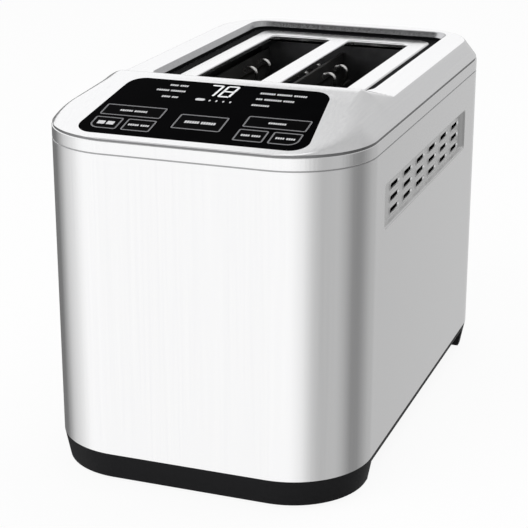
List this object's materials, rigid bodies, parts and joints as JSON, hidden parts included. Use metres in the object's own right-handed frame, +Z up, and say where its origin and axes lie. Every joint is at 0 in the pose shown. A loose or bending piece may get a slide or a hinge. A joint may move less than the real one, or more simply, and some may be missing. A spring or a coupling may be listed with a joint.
{
  "type": "two-slice toaster",
  "caption": "Long brushed-steel two-slice toaster with a sloped black key console, motor bread lift, self-centring guides, side vents and a rear crumb tray.",
  "frame": {"origin": "centre of the footprint on the table, under the middle of the body", "axes": "+Z up, -Y towards the control end, +X to the right seen from the control end"},
  "size_m": [0.184, 0.311, 0.2178],
  "materials": {
    "brushed_steel": "brushed",
    "slot_steel": "satin",
    "black_plastic": "matte",
    "rubber": "matte",
    "black_glass": "gloss",
    "key_black": "gloss",
    "zinc_sheet": "satin",
    "mica": "matte",
    "ribbon": "matte",
    "wire": "polished",
    "gear_nylon": "matte",
    "motor_metal": "satin",
    "circuit_board": "satin",
    "component": "matte"
  },
  "bodies": {
    "case": {"base_pan": "black_plastic", "foot_front_left": "rubber", "foot_front_right": "rubber", "foot_rear_left": "rubber", "foot_rear_right": "rubber", "steel_wrap": "brushed_steel", "vent_panel_left": "brushed_steel", "vent_panel_right": "brushed_steel", "rear_panel": "black_plastic", "cord_gland": "rubber", "terminal_block": "component", "upper_band": "brushed_steel", "top_cover": "brushed_steel", "well_gasket": "black_plastic", "slot_plate": "slot_steel", "control_glass": "black_glass", "display_module": "component", "control_board": "circuit_board", "key_switches": "component", "front_plate": "zinc_sheet", "rear_plate": "zinc_sheet", "shield_left": "zinc_sheet", "shield_right": "zinc_sheet", "heater_board_left": "mica", "heater_board_centre": "mica", "heater_board_right": "mica", "heater_ribbon_left": "ribbon", "heater_ribbon_centre": "ribbon", "heater_ribbon_right": "ribbon", "guide_rod_left": "wire", "guide_rod_right": "wire", "rod_bracket_lower": "zinc_sheet", "rod_bracket_upper": "zinc_sheet", "motor_bridge": "zinc_sheet", "lift_motor": "motor_metal", "limit_switch_upper": "component", "limit_switch_lower": "component", "power_board": "circuit_board", "power_transformer": "component", "power_relay": "component"},
    "carriage": {"carriage_bracket": "zinc_sheet", "bread_rack_left": "wire", "bread_rack_right": "wire", "gear_rack": "gear_nylon"},
    "pinion": {"drive_pinion": "gear_nylon"},
    "tray": {"crumb_tray": "zinc_sheet"},
    "guide_left_outer_body": {"guide_left_outer": "wire"},
    "guide_left_inner_body": {"guide_left_inner": "wire"},
    "guide_right_inner_body": {"guide_right_inner": "wire"},
    "guide_right_outer_body": {"guide_right_outer": "wire"},
    "key_left_top_body": {"key_left_top": "key_black"},
    "key_left_outer_body": {"key_left_outer": "key_black"},
    "key_left_inner_body": {"key_left_inner": "key_black"},
    "key_centre_body": {"key_centre": "key_black"},
    "key_right_top_body": {"key_right_top": "key_black"},
    "key_right_inner_body": {"key_right_inner": "key_black"},
    "key_right_outer_body": {"key_right_outer": "key_black"}
  },
  "joints": [
    {"name": "carriage_lift", "type": "slide", "parent": "case", "child": "carriage", "axis": [0, 0, 1], "range_m": [-0.075, 0]},
    {"name": "pinion_spin", "type": "hinge", "parent": "case", "child": "pinion", "pos_m": [0, -0.051, 0.109], "axis": [0, 1, 0], "range_deg": [0, 430]},
    {"name": "tray_slide", "type": "slide", "parent": "case", "child": "tray", "axis": [0, 1, 0], "range_m": [0, 0.21]},
    {"name": "guide_left_outer_swing", "type": "hinge", "parent": "case", "child": "guide_left_outer_body", "pos_m": [-0.0445, 0.042, 0.05], "axis": [0, 1, 0], "range_deg": [0, 5]},
    {"name": "guide_left_inner_swing", "type": "hinge", "parent": "case", "child": "guide_left_inner_body", "pos_m": [-0.0085, 0.042, 0.05], "axis": [0, 1, 0], "range_deg": [-5, 0]},
    {"name": "guide_right_inner_swing", "type": "hinge", "parent": "case", "child": "guide_right_inner_body", "pos_m": [0.0085, 0.042, 0.05], "axis": [0, 1, 0], "range_deg": [0, 5]},
    {"name": "guide_right_outer_swing", "type": "hinge", "parent": "case", "child": "guide_right_outer_body", "pos_m": [0.0445, 0.042, 0.05], "axis": [0, 1, 0], "range_deg": [-5, 0]},
    {"name": "key_left_top_press", "type": "slide", "parent": "case", "child": "key_left_top_body", "axis": [0, -0.2317, 0.9728], "range_m": [-0.0008, 0], "stiffness_N_per_m": 600, "springref_m": 0.0002},
    {"name": "key_left_outer_press", "type": "slide", "parent": "case", "child": "key_left_outer_body", "axis": [0, -0.2317, 0.9728], "range_m": [-0.0008, 0], "stiffness_N_per_m": 600, "springref_m": 0.0002},
    {"name": "key_left_inner_press", "type": "slide", "parent": "case", "child": "key_left_inner_body", "axis": [0, -0.2317, 0.9728], "range_m": [-0.0008, 0], "stiffness_N_per_m": 600, "springref_m": 0.0002},
    {"name": "key_centre_press", "type": "slide", "parent": "case", "child": "key_centre_body", "axis": [0, -0.2317, 0.9728], "range_m": [-0.0008, 0], "stiffness_N_per_m": 600, "springref_m": 0.0002},
    {"name": "key_right_top_press", "type": "slide", "parent": "case", "child": "key_right_top_body", "axis": [0, -0.2317, 0.9728], "range_m": [-0.0008, 0], "stiffness_N_per_m": 600, "springref_m": 0.0002},
    {"name": "key_right_inner_press", "type": "slide", "parent": "case", "child": "key_right_inner_body", "axis": [0, -0.2317, 0.9728], "range_m": [-0.0008, 0], "stiffness_N_per_m": 600, "springref_m": 0.0002},
    {"name": "key_right_outer_press", "type": "slide", "parent": "case", "child": "key_right_outer_body", "axis": [0, -0.2317, 0.9728], "range_m": [-0.0008, 0], "stiffness_N_per_m": 600, "springref_m": 0.0002}
  ],
  "couplings": [
    {"joint": "pinion_spin", "follows": "carriage_lift", "rad_per_m": -100},
    {"joint": "guide_left_outer_swing", "follows": "carriage_lift", "rad_per_m": -1.1636},
    {"joint": "guide_left_inner_swing", "follows": "carriage_lift", "rad_per_m": 1.1636},
    {"joint": "guide_right_inner_swing", "follows": "carriage_lift", "rad_per_m": -1.1636},
    {"joint": "guide_right_outer_swing", "follows": "carriage_lift", "rad_per_m": 1.1636}
  ]
}
